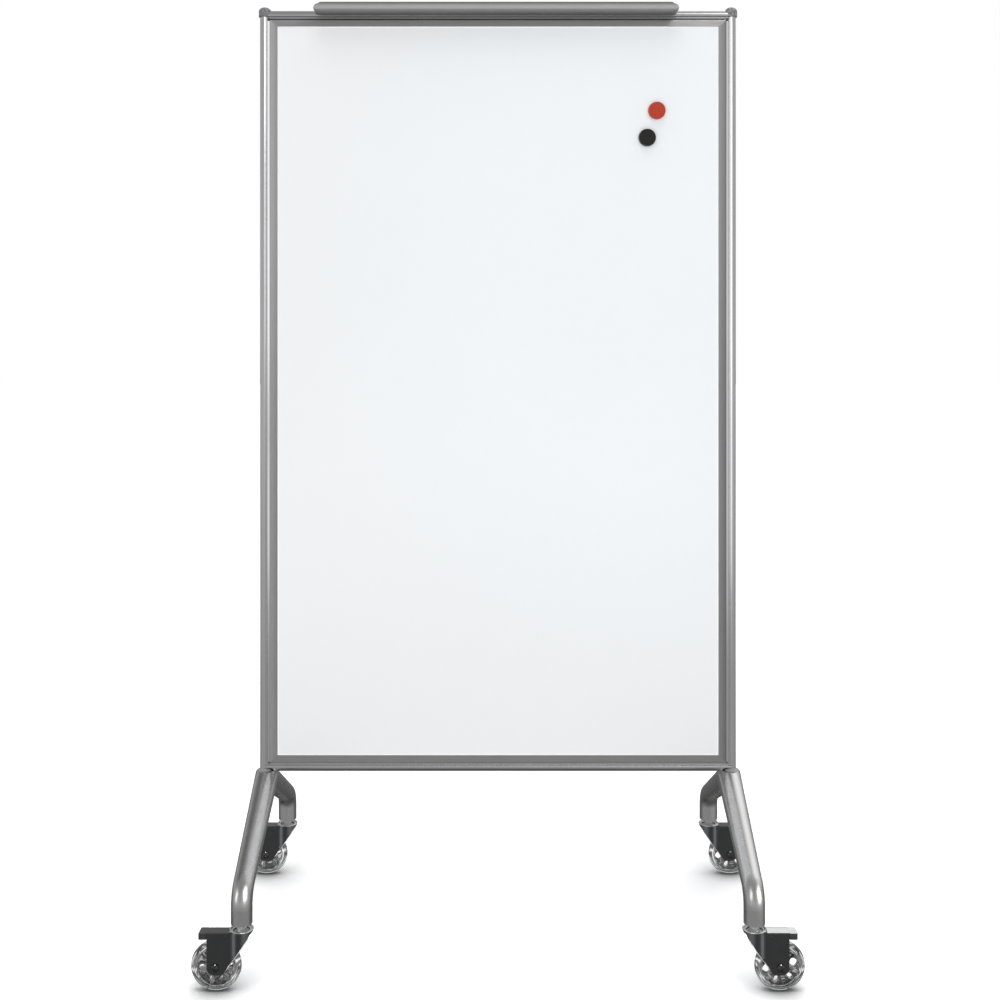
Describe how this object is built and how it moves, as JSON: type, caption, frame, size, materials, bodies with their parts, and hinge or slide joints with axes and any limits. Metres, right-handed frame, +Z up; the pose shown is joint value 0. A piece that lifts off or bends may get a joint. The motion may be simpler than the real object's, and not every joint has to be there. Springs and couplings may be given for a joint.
{
  "type": "rolling whiteboard",
  "caption": "Portrait dry-wipe board in a silver tube frame on two forked feet with braked clear-wheel swivel casters, a marker tray on the top rail and two round magnets.",
  "frame": {"origin": "on the floor, under the middle of the board", "axes": "+Z up, +X to the right of a person facing the writing side, the writing side with the magnets faces -Y"},
  "size_m": [1.0944, 0.5474, 1.818],
  "materials": {
    "frame_tube": "satin silver paint",
    "leg_tube": "satin silver paint",
    "trim_metal": "satin anodised",
    "tray_metal": "satin anodised",
    "tray_metal_cap": "silver grey moulded",
    "cap_plastic": "fine textured",
    "writing_face": "gloss white dry-wipe enamel",
    "core_board": "plain",
    "pad_rubber": "matte",
    "zinc_hardware": "zinc plated",
    "red_plastic": "semi-gloss",
    "black_plastic": "semi-gloss",
    "magnet_ferrite": "sintered",
    "black_chrome": "dark bright plating",
    "kingpin_steel": "dark plated",
    "bearing_steel": "polished",
    "bolt_black": "black oxide",
    "pedal_plastic": "gloss black",
    "clear_tyre": "clear polyurethane",
    "clear_core": "clear polycarbonate"
  },
  "bodies": {
    "stand": {"upright_left": "frame_tube", "upright_right": "frame_tube", "top_rail": "frame_tube", "bottom_rail": "frame_tube", "upright_caps": "cap_plastic", "foot_left": "leg_tube", "foot_right": "leg_tube", "leg_plugs": "cap_plastic", "crown_bolts": "zinc_hardware", "upright_inserts": "zinc_hardware", "front_skin": "writing_face", "back_skin": "writing_face", "board_core": "core_board", "trim_top": "trim_metal", "trim_bottom": "trim_metal", "trim_left": "trim_metal", "trim_right": "trim_metal", "corner_keys": "cap_plastic", "board_anchors": "zinc_hardware", "board_screws": "zinc_hardware", "caster_fl_stem": "kingpin_steel", "caster_fr_stem": "kingpin_steel", "caster_rl_stem": "kingpin_steel", "caster_rr_stem": "kingpin_steel"},
    "tray": {"marker_tray": "tray_metal", "tray_end_caps": "tray_metal_cap", "tray_pads": "pad_rubber"},
    "red_magnet": {"red_magnet_cap": "red_plastic", "red_magnet_disc": "magnet_ferrite"},
    "black_magnet": {"black_magnet_cap": "black_plastic", "black_magnet_disc": "magnet_ferrite"},
    "fl_swivel": {"caster_fl_fork": "black_chrome", "caster_fl_balls": "bearing_steel", "caster_fl_fasteners": "bolt_black"},
    "fl_wheel": {"caster_fl_tyre": "clear_tyre", "caster_fl_hub": "clear_core", "caster_fl_bearings": "bearing_steel"},
    "fl_pedal": {"caster_fl_pedal": "pedal_plastic"},
    "fr_swivel": {"caster_fr_fork": "black_chrome", "caster_fr_balls": "bearing_steel", "caster_fr_fasteners": "bolt_black"},
    "fr_wheel": {"caster_fr_tyre": "clear_tyre", "caster_fr_hub": "clear_core", "caster_fr_bearings": "bearing_steel"},
    "fr_pedal": {"caster_fr_pedal": "pedal_plastic"},
    "rl_swivel": {"caster_rl_fork": "black_chrome", "caster_rl_balls": "bearing_steel", "caster_rl_fasteners": "bolt_black"},
    "rl_wheel": {"caster_rl_tyre": "clear_tyre", "caster_rl_hub": "clear_core", "caster_rl_bearings": "bearing_steel"},
    "rl_pedal": {"caster_rl_pedal": "pedal_plastic"},
    "rr_swivel": {"caster_rr_fork": "black_chrome", "caster_rr_balls": "bearing_steel", "caster_rr_fasteners": "bolt_black"},
    "rr_wheel": {"caster_rr_tyre": "clear_tyre", "caster_rr_hub": "clear_core", "caster_rr_bearings": "bearing_steel"},
    "rr_pedal": {"caster_rr_pedal": "pedal_plastic"}
  },
  "joints": [
    {"name": "tray_slide", "type": "slide", "parent": "stand", "child": "tray", "axis": [1, 0, 0], "range_m": [-0.08, 0.08]},
    {"name": "red_magnet_pull", "type": "slide", "parent": "stand", "child": "red_magnet", "axis": [0, -1, 0], "range_m": [0, 0.06]},
    {"name": "black_magnet_pull", "type": "slide", "parent": "stand", "child": "black_magnet", "axis": [0, -1, 0], "range_m": [0, 0.06]},
    {"name": "fl_swivel", "type": "hinge", "parent": "stand", "child": "fl_swivel", "pos_m": [-0.4572, -0.2523, 0.103], "axis": [0, 0, 1], "continuous": true},
    {"name": "fl_wheel_spin", "type": "hinge", "parent": "fl_swivel", "child": "fl_wheel", "pos_m": [-0.5022, -0.2523, 0.045], "axis": [0, 1, 0], "continuous": true},
    {"name": "fl_brake", "type": "hinge", "parent": "fl_swivel", "child": "fl_pedal", "pos_m": [-0.4842, -0.2523, 0.0996], "axis": [0, -1, 0], "range_deg": [0, 4]},
    {"name": "fr_swivel", "type": "hinge", "parent": "stand", "child": "fr_swivel", "pos_m": [0.4572, -0.2523, 0.103], "axis": [0, 0, 1], "continuous": true},
    {"name": "fr_wheel_spin", "type": "hinge", "parent": "fr_swivel", "child": "fr_wheel", "pos_m": [0.5022, -0.2523, 0.045], "axis": [0, 1, 0], "continuous": true},
    {"name": "fr_brake", "type": "hinge", "parent": "fr_swivel", "child": "fr_pedal", "pos_m": [0.4842, -0.2523, 0.0996], "axis": [0, 1, 0], "range_deg": [0, 4]},
    {"name": "rl_swivel", "type": "hinge", "parent": "stand", "child": "rl_swivel", "pos_m": [-0.4572, 0.2523, 0.103], "axis": [0, 0, 1], "continuous": true},
    {"name": "rl_wheel_spin", "type": "hinge", "parent": "rl_swivel", "child": "rl_wheel", "pos_m": [-0.5022, 0.2523, 0.045], "axis": [0, 1, 0], "continuous": true},
    {"name": "rl_brake", "type": "hinge", "parent": "rl_swivel", "child": "rl_pedal", "pos_m": [-0.4842, 0.2523, 0.0996], "axis": [0, -1, 0], "range_deg": [0, 4]},
    {"name": "rr_swivel", "type": "hinge", "parent": "stand", "child": "rr_swivel", "pos_m": [0.4572, 0.2523, 0.103], "axis": [0, 0, 1], "continuous": true},
    {"name": "rr_wheel_spin", "type": "hinge", "parent": "rr_swivel", "child": "rr_wheel", "pos_m": [0.5022, 0.2523, 0.045], "axis": [0, 1, 0], "continuous": true},
    {"name": "rr_brake", "type": "hinge", "parent": "rr_swivel", "child": "rr_pedal", "pos_m": [0.4842, 0.2523, 0.0996], "axis": [0, 1, 0], "range_deg": [0, 4]}
  ]
}
